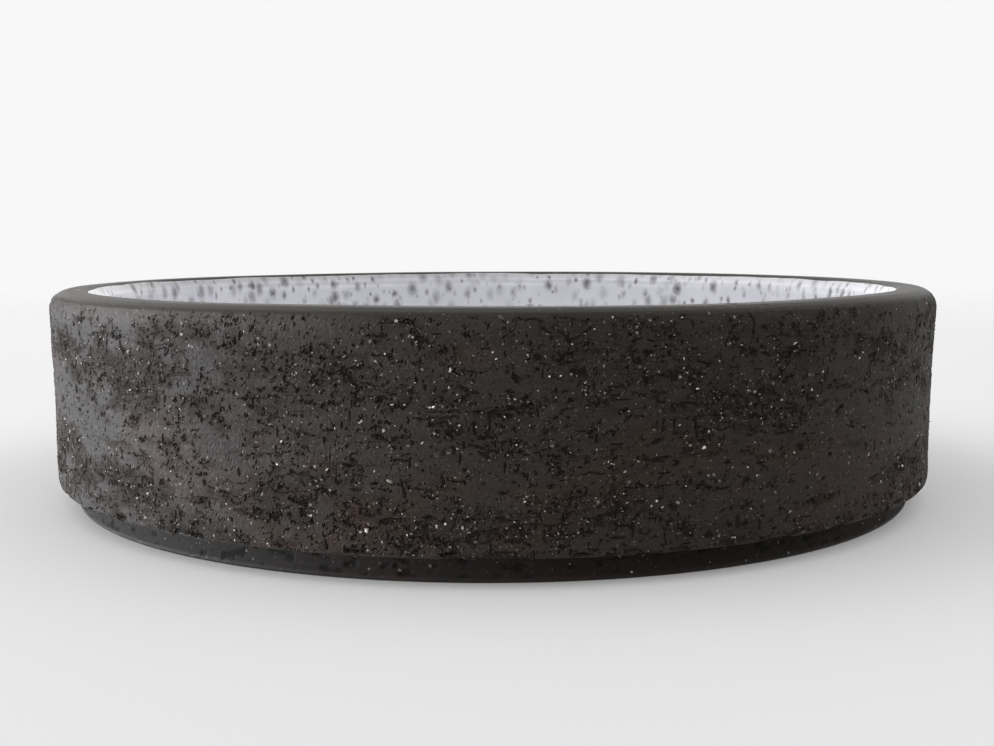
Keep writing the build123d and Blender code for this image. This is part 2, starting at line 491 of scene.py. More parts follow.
def clouds(tree, given, detail, roughness):
    """Noise over the piece, at the scale that the group is given."""
    return put(tree, "ShaderNodeTexNoise", {
        "Vector": place_on_piece(tree, given["Flatten"]), "Scale": given["Scale"],
        "Detail": detail, "Roughness": roughness,
    }).outputs["Fac"]


def tone_drift_group():
    """Slow clouds of tone."""
    inputs = {"Scale": 40.0, "Flatten": 1.0, "Contrast": 2.0}
    tree, given, made = new_group("Tone drift", inputs, ("Tone",))
    centred = calc(tree, "SUBTRACT", clouds(tree, given, 3.0, 0.55), 0.5)
    tone = calc(tree, "MULTIPLY_ADD", centred, given["Contrast"], 0.5, clamp=True)
    feed(tree, made, {"Tone": tone})
    return tree


def fine_grain_group():
    """Fine sandy grain, as a height from 0 to 1."""
    tree, given, made = new_group("Fine grain", {"Scale": 1500.0, "Flatten": 1.0}, ("Height",))
    feed(tree, made, {"Height": clouds(tree, given, 4.0, 0.6)})
    return tree


def flecks_group():
    """Scattered flecks of uneven size, with a shade of their own from 0 to 1."""
    inputs = {"Scale": 300.0, "Flatten": 1.0, "Size": 0.3, "Softness": 0.4, "Share": 0.5, "Wobble": 0.3}
    tree, given, made = new_group("Flecks", inputs, ("Mask", "Shade"))
    reach = calc(tree, "DIVIDE", given["Wobble"], given["Scale"])
    where = place_on_piece(tree, given["Flatten"])
    where = stirred(tree, where, times(tree, given["Scale"], 2.2), reach)
    distance, luck, growth, shade = scattered_cells(tree, where, given["Scale"])
    radius = times(tree, given["Size"], between(tree, growth, 0.45, 1.35))
    core = times(tree, radius, calc(tree, "SUBTRACT", 1.0, given["Softness"]))
    spot = faded(tree, distance, core, radius, 1.0, 0.0)
    kept = calc(tree, "LESS_THAN", luck, given["Share"])
    feed(tree, made, {"Mask": times(tree, spot, kept), "Shade": shade})
    return tree


def pitting_group():
    """Ragged pits with crisp edges; Amount from 0 to 1 opens more of them."""
    inputs = {"Scale": 900.0, "Flatten": 1.0, "Amount": 0.5}
    tree, given, made = new_group("Pitting", inputs, ("Mask",))
    open_at = between(tree, given["Amount"], 0.74, 0.57)
    above = calc(tree, "SUBTRACT", clouds(tree, given, 2.0, 0.55), open_at)
    feed(tree, made, {"Mask": faded(tree, above, 0.0, 0.05)})
    return tree


EFFECTS = {
    "Tone drift": tone_drift_group,
    "Fine grain": fine_grain_group,
    "Flecks": flecks_group,
    "Pitting": pitting_group,
}


def effect(tree, name, **values):
    """Places a shared effect in a material, with its own values."""
    node = tree.nodes.new("ShaderNodeGroup")
    node.node_tree = bpy.data.node_groups.get(name) or EFFECTS[name]()
    return feed(tree, node, values).outputs


# Materials


def new_material(name):
    """Starts a material: its node tree and its shader."""
    material = bpy.data.materials.new(name)
    material.use_nodes = True
    return material, material.node_tree, material.node_tree.nodes["Principled BSDF"]


def stoneware_material(clay):
    """Dry charcoal stoneware: iron patches, black pits partly in painted shade, crumbs of pale sand, a
    smoother rim and foot, painted highlights.
    """
    material, tree, shader = new_material("black_stoneware")
    # hollow carries the pit darkening, partly painted shade, and below 0 the painted highlight
    hollow, wild, iron = (attribute(tree, name) for name in ("hollow", "wild", "iron"))
    smoke = effect(tree, "Tone drift", Scale=190.0, Flatten=1.6, Contrast=2.0)["Tone"]
    streak = effect(tree, "Tone drift", Scale=260.0, Flatten=10.0, Contrast=2.6)["Tone"]
    sand = effect(tree, "Fine grain", Scale=1700.0, Flatten=1.0)["Height"]
    open_clay, dragged = between(tree, wild, 0.25, 0.95), times(tree, wild, 0.55)
    pinholes = effect(tree, "Pitting", Scale=2300.0, Flatten=0.8, Amount=open_clay)["Mask"]
    drags = effect(tree, "Pitting", Scale=420.0, Flatten=6.0, Amount=dragged)["Mask"]
    pits = calc(tree, "MAXIMUM", pinholes, drags)
    crumb = effect(tree, "Flecks", Scale=760.0, Size=0.26, Softness=0.3, Share=0.34, Wobble=0.5)
    dusty = times(tree, wild, 0.3)
    dust = effect(tree, "Flecks", Scale=1500.0, Size=0.34, Softness=0.3, Share=dusty, Wobble=0.6)

    rust = times(tree, iron, between(tree, smoke, 0.55, 1.05), clamp=True)
    tone = mixed(tree, rust, clay.body, clay.warm)
    shade = calc(tree, "MULTIPLY_ADD", streak, 0.4, between(tree, smoke, 0.7, 0.9))
    shade = times(tree, shade, faded(tree, wild, 0.1, 0.4, 0.8, 1.0, "LINEAR"))
    shade = put(tree, "ShaderNodeCombineColor", {0: shade, 1: shade, 2: shade}).outputs[0]
    tone = mixed(tree, 1.0, tone, shade, "MULTIPLY")
    # Painted highlight: where hollow goes below 0, on pit lips, the rim's crest and the upper left, the clay
    # is lightened toward the pale colour
    scuffed = times(tree, hollow, -0.4, clamp=True)
    tone = mixed(tree, scuffed, tone, clay.painted_highlight)
    # Partly painted shade: pits, deep ones and those only bumped, darken toward the pit colour, as do the
    # foot and its nicks
    dark = calc(tree, "MAXIMUM", times(tree, hollow, 0.45), times(tree, pits, 0.42), clamp=True)
    tone = mixed(tree, dark, tone, clay.pit)
    glint = calc(tree, "POWER", crumb["Shade"], 4.0)
    pale = times(tree, crumb["Mask"], between(tree, glint, 0.04, 0.54))
    pale = times(tree, pale, between(tree, wild, 0.3, 1.0))
    tone = mixed(tree, pale, tone, clay.grog_pale)
    faint = times(tree, calc(tree, "POWER", dust["Shade"], 2.0), 0.2)
    tone = mixed(tree, times(tree, dust["Mask"], faint), tone, clay.grog_pale)

    rough = between(tree, sand, 0.44, 0.69)
    rough = calc(tree, "MULTIPLY_ADD", calc(tree, "MAXIMUM", wild, dark), 0.5, rough, clamp=True)
    height = calc(tree, "MULTIPLY_ADD", pits, -0.9, times(tree, sand, 0.4))
    height = calc(tree, "MULTIPLY_ADD", crumb["Mask"], 0.3, height)
    feed(tree, shader, {
        "Base Color": tone, "Roughness": rough, "Normal": bump(tree, height, 0.22 * MM, 0.75),
        "Specular IOR Level": 0.2,
    })
    return material


def grog_material(clay):
    """Pale fired grains, from white to sandy."""
    material, tree, shader = new_material("pale_grog")
    sand = effect(tree, "Fine grain", Scale=3200.0)["Height"]
    tone = mixed(tree, attribute(tree, "tint"), clay.grog_tan, clay.grog_pale)
    dirt = times(tree, attribute(tree, "dirt"), between(tree, sand, 0.7, 1.2), clamp=True)
    feed(tree, shader, {
        "Base Color": mixed(tree, dirt, tone, clay.body), "Roughness": between(tree, sand, 0.55, 0.85),
        "Normal": bump(tree, sand, 0.08 * MM),
    })
    return material


def bled_specks(tree, where, scale, size, share):
    """Soft specks, about one to a cell of a flat pattern, each with a size and a strength of its own."""
    where = stirred(tree, where, 2.5 * scale, 0.35 / scale)
    distance, luck, growth, strong = scattered_cells(tree, where, scale, "2D")
    radius = times(tree, size, between(tree, growth, 0.6, 1.4))
    spot = faded(tree, distance, 0.0, radius, 1.0, 0.0)
    spot = times(tree, spot, calc(tree, "LESS_THAN", luck, share))
    return times(tree, spot, between(tree, calc(tree, "POWER", strong, 1.6), 0.18, 0.88))


def glaze_material(glaze):
    """Milky glaze with soft iron specks that bleed downward."""
    material, tree, shader = new_material("speckled_glaze")
    flat_x, flat_y, thin = (attribute(tree, name) for name in ("flat_x", "flat_y", "thin"))
    where = put(tree, "ShaderNodeCombineXYZ", {"X": flat_x, "Y": flat_y}).outputs[0]
    pool = effect(tree, "Tone drift", Scale=55.0, Flatten=0.7, Contrast=2.2)["Tone"]
    swell = effect(tree, "Fine grain", Scale=140.0)["Height"]
    large = bled_specks(tree, where, scale=180.0, size=0.46, share=0.95)
    small = bled_specks(tree, where, scale=330.0, size=0.4, share=0.4)
    speck = calc(tree, "MAXIMUM", large, small, clamp=True)
    tone = mixed(tree, pool, glaze.mist, glaze.milk)
    tone = mixed(tree, times(tree, thin, 0.6), tone, glaze.bare)
    dimple = calc(tree, "MULTIPLY_ADD", speck, -0.25, swell)
    feed(tree, shader, {
        "Base Color": mixed(tree, speck, tone, glaze.iron), "Roughness": between(tree, speck, 0.36, 0.46),
        "Normal": bump(tree, dimple, 0.12 * MM, 0.5), "IOR": 1.52,
    })
    return material


def iron_material(kenzan):
    """Blackened sand-cast iron with a brown bloom."""
    material, tree, shader = new_material("blackened_cast_iron")
    patch = effect(tree, "Tone drift", Scale=130.0, Contrast=3.0)["Tone"]
    sand = effect(tree, "Fine grain", Scale=1100.0)["Height"]
    pock = effect(tree, "Flecks", Scale=520.0, Size=0.34, Softness=0.6, Share=0.3)["Mask"]
    tone = mixed(tree, times(tree, patch, 0.45), kenzan.iron, kenzan.rust)
    height = calc(tree, "MULTIPLY_ADD", pock, -0.6, sand)
    feed(tree, shader, {
        "Base Color": mixed(tree, times(tree, pock, 0.6), tone, kenzan.rust),
        "Metallic": between(tree, patch, 0.75, 0.3), "Roughness": between(tree, sand, 0.38, 0.68),
        "Normal": bump(tree, height, 0.25 * MM, 0.8),
    })
    return material


def brass_material(kenzan):
    """Drawn brass: clean points, tarnish where water stands."""
    material, tree, shader = new_material("drawn_brass")
    drawn = effect(tree, "Fine grain", Scale=2600.0, Flatten=0.08)["Height"]
    patch = effect(tree, "Tone drift", Scale=260.0, Flatten=0.5, Contrast=2.4)["Tone"]
    wet = times(tree, attribute(tree, "wet"), between(tree, patch, 0.4, 1.1), clamp=True)
    rough = calc(tree, "MULTIPLY_ADD", drawn, 0.15, between(tree, wet, 0.2, 0.45))
    feed(tree, shader, {
        "Base Color": mixed(tree, wet, kenzan.brass, kenzan.tarnish), "Roughness": rough,
        "Normal": bump(tree, drawn, 0.05 * MM, 0.6), "Metallic": 1.0,
    })
    return material


def rubber_material(kenzan):
    """Moulded black rubber with a pale bloom."""
    material, tree, shader = new_material("moulded_rubber")
    cloud = effect(tree, "Tone drift", Scale=150.0, Flatten=2.0, Contrast=2.4)["Tone"]
    skin = effect(tree, "Fine grain", Scale=1900.0)["Height"]
    dusty = times(tree, cloud, between(tree, skin, 0.15, 0.65), clamp=True)
    feed(tree, shader, {
        "Base Color": mixed(tree, dusty, kenzan.rubber, kenzan.bloom),
        "Roughness": between(tree, cloud, 0.48, 0.68), "Normal": bump(tree, skin, 0.06 * MM, 0.7),
    })
    return material


# Forms


# Corners of the clay's outline that later steps name; each also owns the run that follows it
FOOT_INSIDE, FOOT_EDGE, UNDERCUT, WALL, RIM_OUTSIDE, RIM_INSIDE = range(2, 8)


def inside_form(dish):
    """Inside of the clay: its radius at the floor, the floor's level and how far it leans out per rise."""
    inside_base = dish.outer_radius - dish.wall_taper - dish.wall_base_width
    floor_level = dish.recess_depth + dish.floor_thickness
    rim_inner = dish.outer_radius - dish.rim_width
    return inside_base, floor_level, (rim_inner - inside_base) / (dish.height - floor_level)


def dish_outline(dish, step):
    """Outline of the clay from the middle of its underside, up the wall, over the rim and in to the floor."""
    wall_base = dish.outer_radius - dish.wall_taper
    foot_radius = wall_base - dish.foot_inset
    foot_inner = foot_radius - dish.foot_ring_width
    rim_inner = dish.outer_radius - dish.rim_width
    inside_base, floor_level, lean = inside_form(dish)
    under_rim = dish.height - 5.0 * MM
    return turned_outline((
        (0.0, dish.recess_depth, 0.0, 9.0 * MM),
        (foot_inner, dish.recess_depth, dish.recess_round, 1.5 * MM),
        (foot_inner, 0.0, dish.foot_edge_round, 1.2 * MM),
        (foot_radius, 0.0, dish.foot_edge_round, 0.5 * MM),
        (foot_radius, dish.foot_height, dish.undercut_round, 0.5 * MM),
        (wall_base, dish.foot_height, dish.wall_corner_round, step),
        (dish.outer_radius, dish.height, dish.rim_outer_round, 0.3 * MM),
        (rim_inner, dish.height, dish.rim_inner_round, 0.5 * MM),
        (inside_base + lean * (under_rim - floor_level), under_rim, 0.0, 4.0 * MM),
        (inside_base, floor_level, dish.inside_corner_round, 3.0 * MM),
        (0.0, floor_level, 0.0, 9.0 * MM),
    ))


def scatter(index, stride):
    """Number from 0 to 1 that steps about evenly from one index to the next."""
    return (index * stride) % 1.0


def main_tears(dish, level, columns, stray):
    """Depth of the main tears on a grid of wall levels and columns, their edges strayed sideways and up.

    They lie where the solid has its tears, so the numbers that place and size them are the same.
    """
    depth = np.zeros((len(level), columns))
    per_row = round(2.0 * math.pi * dish.outer_radius / dish.tear_pitch)
    lowest = dish.foot_height + 2.0 * dish.wall_corner_round
    row_step = (dish.height - dish.rim_outer_round - lowest) / dish.tear_rows
    lean = dish.wall_taper / (dish.height - dish.foot_height)
    for index in range(dish.tear_rows * per_row):
        row, column = divmod(index, per_row)
        turn = (column + 0.5 * (row % 2) + 0.25 * (scatter(index, 0.618) - 0.5)) / per_row
        middle = lowest + row_step * (row + 0.6 + 0.27 * (scatter(index, 0.755) - 0.5))
        deep = dish.tear_depth * (0.5 + 0.5 * scatter(index, 0.57))
        breadth = dish.tear_height * (0.6 + 0.4 * scatter(index, 0.325))
        tilt = dish.tear_tilt * (2.0 * scatter(index, 0.845) - 1.0)
        wall = dish.outer_radius - dish.wall_taper + lean * (middle - dish.foot_height)
        reach = 1.2 * math.sqrt(2.0 * wall * deep)
        rows = np.flatnonzero(np.abs(level - middle) < 1.2 * breadth + 2.0 * MM)
        span = math.ceil(reach / (2.0 * math.pi * wall) * columns)
        near = np.arange(round(turn * columns) - span, round(turn * columns) + span + 1)
        here = np.ix_(rows, near % columns)
        along = (near[None, :] / columns - turn) * 2.0 * math.pi * wall + stray[0][here]
        up = level[rows, None] - middle + stray[1][here]
        across = up * math.cos(tilt) - along * math.sin(tilt)
        slope = np.maximum(across / dish.tear_lip, -across / (1.0 - dish.tear_lip)) / breadth
        cut = deep * (1.0 - slope) - along**2 / (2.0 * wall) + lean * up
        depth[here] = np.maximum(depth[here], cut)
    return depth


class TornClay:
    """The dish's outside from foot to rim: its points, row by row, and how the clay looks at each.

    Zones run from 0 to 1. Their heights and the grain of the noise are in millimetres. Each field of
    noise has a spread of 1, so a ramp from 1.8 to 2.2 opens few places and one from -1 to 1 shades all.
    """

    ROOM_FOR_BURRS = 0.1 * MM       # how far all of it is set back from the turned form
    CHIP_DEPTH = 0.5 * MM
    CRUMBLE_DEPTH = 0.8 * MM        # along the wall's lower edge
    NICK_DEPTH = 0.25 * MM          # on the foot
    SAND_DEPTH = 0.02 * MM

    def __init__(self, dish, clay):
        self.outline, normals, self.path, owner = dish_outline(dish, clay.grain_step)
        self.columns = FINER * round(2.0 * math.pi * dish.outer_radius / clay.grain_step / FINER)
        self.outside = (owner >= FOOT_INSIDE) & (owner <= RIM_INSIDE)
        rows, out, owner = (part[self.outside] for part in (self.outline, normals, owner))
        self.shape = len(rows), self.columns
        self.cell = clay.grain_step / MM
        self.rng = np.random.default_rng(58)
        self.mark_zones(rows[:, 1] / MM, dish.height / MM, owner)
        push = self.tear(dish, clay, rows[:, 1])
        radius = np.minimum(rows[:, :1] + out[:, :1] * push, BODY_HIGH.x - 0.01 * MM)
        level = np.maximum(rows[:, 1:] + out[:, 1:] * push, 0.0)
        self.points = spin(radius, level).reshape(*self.shape, 3)
        away, up = (np.repeat(part, self.columns, axis=1) for part in (out[:, :1], out[:, 1:]))
        self.normals = spin(away, up).reshape(*self.shape, 3)
        reddened = self.field(6.0, 14.0) + 0.6 * self.field(2.0, 4.5) + 1.7 * self.low_front
        self.iron = ramp(reddened, 0.5, 2.8) * (1.0 - 0.9 * self.upper)

    def field(self, tall, wide):
        """Noise over the clay, of the given grain up and round the wall."""
        return noise(self.rng, self.shape, tall / self.cell, wide / self.cell)

    def mark_zones(self, height, rim, owner):
        """Marks where each kind of clay shows, and where highlights are painted on it."""
        turn = np.linspace(0.0, 2.0 * math.pi, self.columns, endpoint=False)

        def facing(direction, start, end):
            return ramp(np.cos(turn - direction), start, end)

        smooth_rim = rim - 2.6, rim - 0.9
        self.torn = (owner == WALL) | ((owner == RIM_OUTSIDE) & (height < rim - 0.8))
        side = self.torn * ramp(height, 6.3, 7.2) * (1.0 - ramp(height, *smooth_rim))
        foot = np.isin(owner, (FOOT_EDGE, UNDERCUT)) * ramp(height, 0.6, 1.5)
        crest = np.isin(owner, (RIM_OUTSIDE, RIM_INSIDE)) * ramp(height, *smooth_rim)
        # Painted highlight along the rim's crest, where it catches the light
        scuffed = np.where(owner == RIM_INSIDE, 1.0, ramp(height, rim - 1.3, rim - 0.5)) * crest
        lower_edge = (owner == WALL) * (1.0 - ramp(height, 7.2, 8.8))
        self.grog_share = side + 0.16 * foot + 0.6 * crest
        self.side, self.foot, self.crest = side[:, None], foot[:, None], crest[:, None]
        self.scuffed, self.lower_edge, height = scuffed[:, None], lower_edge[:, None], height[:, None]

        self.upper = ramp(height, rim - 8.0, rim - 1.6)
        self.left, right = facing(3.6, 0.65, 0.95), facing(-0.2, 0.5, 0.95)
        self.low_front = facing(1.5 * math.pi + 0.12, 0.5, 1.0) * (1.0 - ramp(height, 24.0, 42.0))
        # Painted light: the upper wall facing the window on the left is lightened where that light falls
        self.painted_left_light = (0.4 * self.left + 0.8 * facing(4.1, 0.9, 0.985)) * self.upper * self.side
        band = 26.5 + 1.6 * np.sin(2.0 * turn + 1.0)
        smoothed = np.exp(-(((height - band) / 5.5) ** 2))
        calm_left = self.upper * (0.5 + 0.9 * self.left) + 0.2 * self.left
        self.calm = calm_left + 0.9 * right + 0.9 * smoothed - 0.15

    def tear(self, dish, clay, level):
        """How far each point is pushed out of the turned form, by tears, pits, cracks, burrs and chips."""
        field, side, foot, crest = self.field, self.side, self.foot, self.crest
        stray = 0.5 * MM * field(0.7, 1.0), 0.35 * MM * field(0.5, 1.4)
        tears = main_tears(dish, level, self.columns, stray)
        wild = 0.5 * field(2.0, 5.0) + 0.35 * field(5.0, 22.0) + 0.5 * field(0.9, 1.2)
        wild = 0.65 * wild / wild.std() + 0.55 * ramp(tears, 0.0, 0.3 * MM) - self.calm
        specks = self.rng.standard_normal(self.shape)

        def opened(tall, wide, crumbs, wildness, start, end):
            return ramp(field(tall, wide) + crumbs * specks + wildness * wild, start, end)

        ragged = 0.8 * field(0.27, 0.33) + 0.42 * specks + 0.42 * wild
        pits = ramp(ragged, 1.0, 1.4) * (0.55 + 0.45 * ramp(field(0.8, 0.8), -1.0, 1.0))
        gouges = opened(0.42, 0.75, crumbs=0.4, wildness=0.42, start=1.85, end=2.3)
        cracks = opened(0.2, 1.8, crumbs=0.0, wildness=0.3, start=1.8, end=2.2)
        splits = opened(0.8, 0.24, crumbs=0.2, wildness=0.3, start=1.95, end=2.35)
        strayed = np.arange(self.shape[0])[:, None] + np.rint(1.6 * field(1.5, 1.8)).astype(int)
        cracks = np.take_along_axis(cracks, np.clip(strayed, 0, self.shape[0] - 1), axis=0)
        depth = np.maximum.reduce((
            clay.pit_depth * pits, clay.gouge_depth * gouges,
            clay.crack_depth * cracks, clay.crack_depth * splits,
        )) * (1.0 - 0.35 * self.left)
        burr = (ramp(ragged, 0.68, 0.92) - ramp(ragged, 0.98, 1.12)) * ramp(field(0.5, 0.6), -0.4, 1.0)
        rough = clay.lip * burr + self.SAND_DEPTH * (field(0.3, 2.5) + field(0.2, 0.2))
        chips = ramp(field(0.6, 0.9), 2.2, 3.0)
        sway = clay.sway * (0.6 * field(9.0, 45.0) + 0.4 * field(5.0, 15.0))
        sway = np.minimum(sway - self.ROOM_FOR_BURRS, 0.0) * np.maximum(side, crest)
        crumbled = self.lower_edge * ramp(field(0.7, 1.5) + 0.3 * specks, 0.6, 1.6)
        nicks = noise(np.random.default_rng(64), self.shape, 0.25 / self.cell, 0.8 / self.cell)
        nicks = foot * ramp(nicks, 0.6, 1.8)

        self.wild = side * (0.25 + 0.75 * ramp(wild, -1.2, 1.0)) + 0.3 * foot
        # Colour marks: above 0 darkens toward the pit colour (pit depth, partly painted shade; the foot; its
        # nicks); below 0 is painted highlight on pit lips, the crest and the upper left
        self.hollow = side * (np.clip(depth / clay.pit_depth, 0.0, 1.0) - burr)
        self.hollow += 1.25 * foot + 0.6 * nicks - 1.2 * self.scuffed - self.painted_left_light
        push = side * (rough - depth - tears) + sway - self.CRUMBLE_DEPTH * crumbled
        push -= self.ROOM_FOR_BURRS * np.maximum.reduce((side, foot, crest))
        return push - self.CHIP_DEPTH * (foot + 0.3 * crest) * chips - self.NICK_DEPTH * nicks


def throw_body(dish, clay):
    """Stoneware body: the torn wall, joined to a coarser foot, rim, underside and inside."""
    clay_side = TornClay(dish, clay)
    shades = np.stack((clay_side.hollow, clay_side.wild, clay_side.iron), axis=2)
    outer = iter(zip(clay_side.points, shades, clay_side.torn))
    rings, shades = [], []
    for (radius, height), outside in zip(clay_side.outline, clay_side.outside):
        if outside:
            points, shade, torn = next(outer)
            step = 1 if torn else FINER
            rings.append(points[::step])
            shades.append(shade[::step])
        else:
            columns = 1 if radius == 0.0 else clay_side.columns // FINER
            rings.append(spin(np.full((1, columns), radius), np.full((1, columns), height)))
            shades.append(np.zeros((columns, 3)))
    counts = [len(ring) for ring in rings]
    hollow, wild, iron = np.concatenate(shades).T
    first, last = (int(row) for row in np.flatnonzero(clay_side.outside)[[0, -1]])
    faces = ring_faces(counts)
    bands = ((0, 1, 0.0, 0.04), (first, 3, 0.04, 0.96), (last, 1, 0.96, 1.0))
    uvs = [unrolled(part, counts, clay_side.path, bands) for part in faces]
    return make_piece("clay_body", np.concatenate(rings), faces, stoneware_material(clay), uvs, False,
                      hollow=hollow, wild=wild, iron=iron)


def press_grog(dish, clay):
    """Pale grains, each a crooked lump sunk into the torn clay."""
    clay_side = TornClay(dish, clay)
    rng = np.random.default_rng(127)
    count = clay.grog_count
    chance = clay_side.grog_share[:, None] * (0.12 + clay_side.wild)
    chosen = rng.choice(chance.size, count, p=chance.ravel() / chance.sum())
    row, column = np.divmod(chosen, clay_side.columns)
    lump = np.concatenate((np.eye(3), -np.eye(3)))
    faces = np.array([(a, b, c) for a in (0, 3) for b in (1, 4) for c in (2, 5)])
    inward = np.linalg.det(lump[faces]) < 0.0
    faces[inward] = faces[inward, ::-1]

    normal = clay_side.normals[row, column]
    turn = 2.0 * math.pi * column / clay_side.columns
    level = np.stack((-np.sin(turn), np.cos(turn), np.zeros(count)), axis=1)
    tilt = rng.normal(0.0, 0.7, count)[:, None]
    along = np.cos(tilt) * level + np.sin(tilt) * np.cross(normal, level)
    across = np.cross(normal, along)
    usual, spread, least, most = 0.14, 0.6, 0.06, 0.7
    size = np.clip(rng.lognormal(math.log(usual), spread, count), least, most)
    size = MM * size[:, None, None]
    crooked = lump[None] + rng.uniform(-0.35, 0.35, (count, len(lump), 3))
    wide = rng.uniform(1.0, 1.6, count)[:, None, None]
    thin = rng.uniform(0.55, 0.8, count)[:, None, None]
    sunk = 0.55
    points = clay_side.points[row, column][:, None] + size * (
        crooked[:, :, 0:1] * wide * along[:, None] + crooked[:, :, 1:2] * across[:, None]
        + (crooked[:, :, 2:3] - sunk) * thin * normal[:, None])
    reach = dish.outer_radius - 0.1 * MM
    points[:, :, :2] *= np.minimum(1.0, reach / np.linalg.norm(points[:, :, :2], axis=2, keepdims=True))
    points[:, :, 2] = np.clip(points[:, :, 2], 0.0, dish.height)

    side = math.ceil(math.sqrt(count))
    cell = np.stack((np.arange(count) % side, np.arange(count) // side), axis=1)
    middle, half = 0.5, 0.22
    spot = (cell[:, None] + middle + half * lump[None, :, :2]) / side
    every = (faces[None] + len(lump) * np.arange(count)[:, None, None]).reshape(-1, 3)
    tint = np.repeat(rng.beta(2.2, 0.5, count), len(lump))
    dirt = np.repeat(rng.beta(0.6, 1.0, count), len(lump))
    return make_piece("grog_grains", points.reshape(-1, 3), [every], grog_material(clay),
                      [spot.reshape(-1, 2)[every]], False, tint=tint, dirt=dirt)


def pour_glaze(dish, glaze):
    """Glaze coat over the inside, with a wandering line and faint throwing rings."""
    inside_base, floor_level, lean = inside_form(dish)
    line, coat, sunk = glaze.line, glaze.thickness, 0.3 * MM
    at_line = inside_base + lean * (line - floor_level)
    points, normals, path, owner = turned_outline((
        (0.0, floor_level - sunk, 0.0, 12.0 * MM),
        (inside_base + sunk, floor_level - sunk, dish.inside_corner_round, 4.0 * MM),
        (at_line + 1.8 * MM, line + 0.15 * MM, 0.2 * MM, 0.3 * MM),
        (at_line + 0.5 * MM, line + 0.1 * MM, 0.3 * MM, 0.3 * MM),
        (at_line - coat, line - 2.2 * MM, 1.2 * MM, 0.3 * MM),
        (at_line - coat - lean * 4.0 * MM, line - 4.0 * MM, 0.0, 1.2 * MM),
        (inside_base - coat, floor_level + coat, dish.inside_corner_round - coat, 1.0 * MM),
        (0.0, floor_level + coat, 0.0, 1.0 * MM),
    ))
    lip, wall, cove = 3, 5, 6
    columns = 640
    rng = np.random.default_rng(31)
    shape = (len(points), columns)
    radius, height = points[:, :1], points[:, 1:]
    turn = np.linspace(0.0, 2.0 * math.pi, columns, endpoint=False)
    rings = glaze.ripple * np.sin(2.0 * math.pi * radius / glaze.ripple_pitch + turn)
    rings = rings * ramp(radius, 4.0 * MM, 30.0 * MM)
    push = (owner >= wall)[:, None] * (rings + 0.08 * MM * noise(rng, shape, 8.0, 12.0))
    wander = 0.7 * noise(rng, (1, columns), 1.0, 7.0) + 0.3 * noise(rng, (1, columns), 1.0, 2.5)
    lifted = height + glaze.line_wander * wander * ramp(height, line - 5.0 * MM, line - 0.5 * MM)
    radius, height = radius + normals[:, :1] * push, lifted + normals[:, 1:] * push
    points, counts = capped(points[0, 1], spin(radius[1:-1], height[1:-1]), columns, points[-1, 1])

    reach = path[-1] - path[1:-1, None]
    reach = np.minimum(reach, inside_base) + 0.8 * np.maximum(reach - inside_base, 0.0)
    flat = np.pad(spin(np.repeat(reach, columns, axis=1), np.zeros(shape)[1:-1]), ((1, 1), (0, 0)))
    thin = np.pad(ramp(points[1:-1, 2], line - 3.5 * MM, line), 1)
    faces = ring_faces(counts)
    floor_rings = 60
    lip_start = int(np.flatnonzero(owner == lip)[0])
    floor_start = int(np.flatnonzero(owner == cove)[-1]) - floor_rings
    bands = ((0, 1, 0.0, 0.03), (lip_start, 4, 0.03, 0.55), (floor_start, 1, 0.55, 1.0))
    uvs = [unrolled(part, counts, path, bands) for part in faces]
    return make_piece("poured_glaze", points, faces, glaze_material(glaze), uvs,
                      flat_x=flat[:, 0], flat_y=flat[:, 1], thin=thin)


def pin_places(kenzan):
    """Where the pins stand: rows in quincunx inside a round field."""
    field = WEIGHT_HIGH.x - kenzan.pin_margin
    row_step = kenzan.pin_pitch * math.sqrt(3.0) / 2.0
    rows = math.floor(field / row_step)
    columns = math.ceil(field / kenzan.pin_pitch)
    places = [
        (kenzan.pin_pitch * (column + 0.5 * (row % 2)), row_step * row)
        for row in range(-rows, rows + 1) for column in range(-columns - 1, columns + 1)
    ]
    return np.array([place for place in places if math.hypot(*place) <= field])


def cast_weight(kenzan):
    """Cast weight with an uneven skin and a low collar round each pin."""
    low, high, edge = WEIGHT_LOW.z, WEIGHT_HIGH.z, WEIGHT_HIGH.x
    points, normals, _, owner = turned_outline((
        (0.0, low, 0.0, 4.0 * MM),
        (edge, low, kenzan.weight_round, 0.6 * MM),
        (edge, high, kenzan.weight_round, 0.5 * MM),
        (0.0, high, 0.0, 0.5 * MM),
    ))
    points, normals, on_top = points[1:-1], normals[1:-1], owner[1:-1] == 2
    columns = 420
    rng = np.random.default_rng(12)
    shape = (len(points), columns)
    set_back, pole_set_back = 0.12 * MM, 0.1 * MM
    skin = 0.05 * MM * noise(rng, shape, 4.0, 6.0) + 0.03 * MM * noise(rng, shape, 1.0, 1.5) - set_back
    turn = np.linspace(0.0, 2.0 * math.pi, columns, endpoint=False)
    across = points[:, :1] * np.cos(turn), points[:, :1] * np.sin(turn)
    gap = np.full(shape, 1.0)
    for x, y in pin_places(kenzan):
        gap = np.minimum(gap, np.hypot(across[0] - x, across[1] - y))
    collar = 0.35 * MM * np.exp(-((gap - 0.9 * kenzan.pin_radius) / (0.7 * MM)) ** 2)
    push = skin + collar * on_top[:, None] * (normals[:, 1:] > 0.9)
    radius = points[:, :1] + normals[:, :1] * np.minimum(push, 0.4 * MM)
    height = points[:, 1:] + normals[:, 1:] * push
    solid, counts = capped(low + pole_set_back, spin(radius, height), columns, high - pole_set_back)
    return make_piece("cast_weight", solid, ring_faces(counts), iron_material(kenzan))


